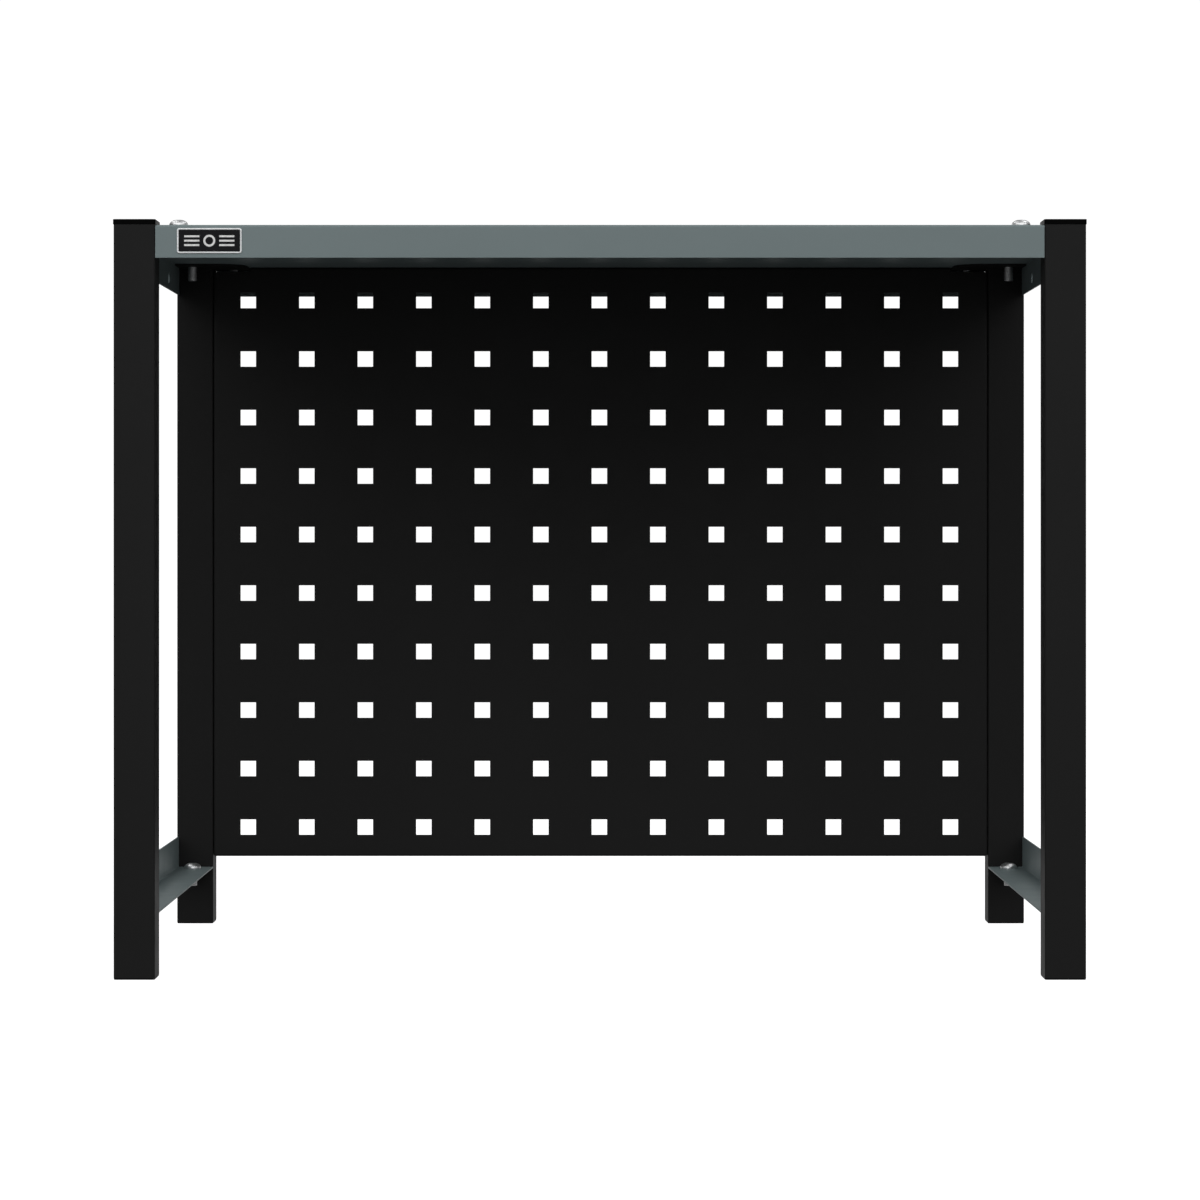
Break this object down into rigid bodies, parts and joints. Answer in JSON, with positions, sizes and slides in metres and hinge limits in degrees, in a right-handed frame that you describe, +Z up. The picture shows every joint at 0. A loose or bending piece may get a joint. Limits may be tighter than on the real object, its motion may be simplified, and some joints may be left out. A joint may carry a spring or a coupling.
{
  "type": "pegboard shelf frame",
  "caption": "Free-standing open shelf module: four square posts, a folded steel shelf on top, angle rails at the sides and a perforated back panel for hooks.",
  "frame": {"origin": "on the floor, at the middle of the footprint", "axes": "+X to the right along the long side, +Y from the open front to the back panel, +Z up"},
  "size_m": [0.5508, 0.3608, 0.4305],
  "materials": {
    "black_paint": "satin black powder coat",
    "grey_paint": "satin blue-grey powder coat",
    "zinc_steel": "bright zinc plate",
    "black_plastic": "moulded black polyethylene",
    "badge": "silver rim round a plain dark field"
  },
  "bodies": {
    "root": {"badge_plate": "badge", "foot_plug_front_left": "black_plastic", "foot_plug_front_right": "black_plastic", "foot_plug_rear_left": "black_plastic", "foot_plug_rear_right": "black_plastic", "lower_rail_left": "grey_paint", "lower_rail_right": "grey_paint", "panel_screw_lower_left": "zinc_steel", "panel_screw_lower_right": "zinc_steel", "panel_screw_upper_left": "zinc_steel", "panel_screw_upper_right": "zinc_steel", "peg_panel": "black_paint", "post_cap_front_left": "black_plastic", "post_cap_front_right": "black_plastic", "post_cap_rear_left": "black_plastic", "post_cap_rear_right": "black_plastic", "post_front_left": "black_paint", "post_front_right": "black_paint", "post_rear_left": "black_paint", "post_rear_right": "black_paint", "rail_screw_front_left": "zinc_steel", "rail_screw_front_right": "zinc_steel", "rail_screw_rear_left": "zinc_steel", "rail_screw_rear_right": "zinc_steel", "rail_tab_front_left": "black_paint", "rail_tab_front_right": "black_paint", "rail_tab_rear_left": "black_paint", "rail_tab_rear_right": "black_paint", "rivet_nut_lower_left": "zinc_steel", "rivet_nut_lower_right": "zinc_steel", "rivet_nut_upper_left": "zinc_steel", "rivet_nut_upper_right": "zinc_steel", "shelf_tray": "grey_paint", "tray_end_screw_front_left": "zinc_steel", "tray_end_screw_front_right": "zinc_steel", "tray_end_screw_rear_left": "zinc_steel", "tray_end_screw_rear_right": "zinc_steel", "tray_gusset_front_left": "black_paint", "tray_gusset_front_right": "black_paint", "tray_gusset_rear_left": "black_paint", "tray_gusset_rear_right": "black_paint", "tray_side_screw_front_left": "zinc_steel", "tray_side_screw_front_right": "zinc_steel", "tray_side_screw_rear_left": "zinc_steel", "tray_side_screw_rear_right": "zinc_steel"}
  },
  "joints": []
}
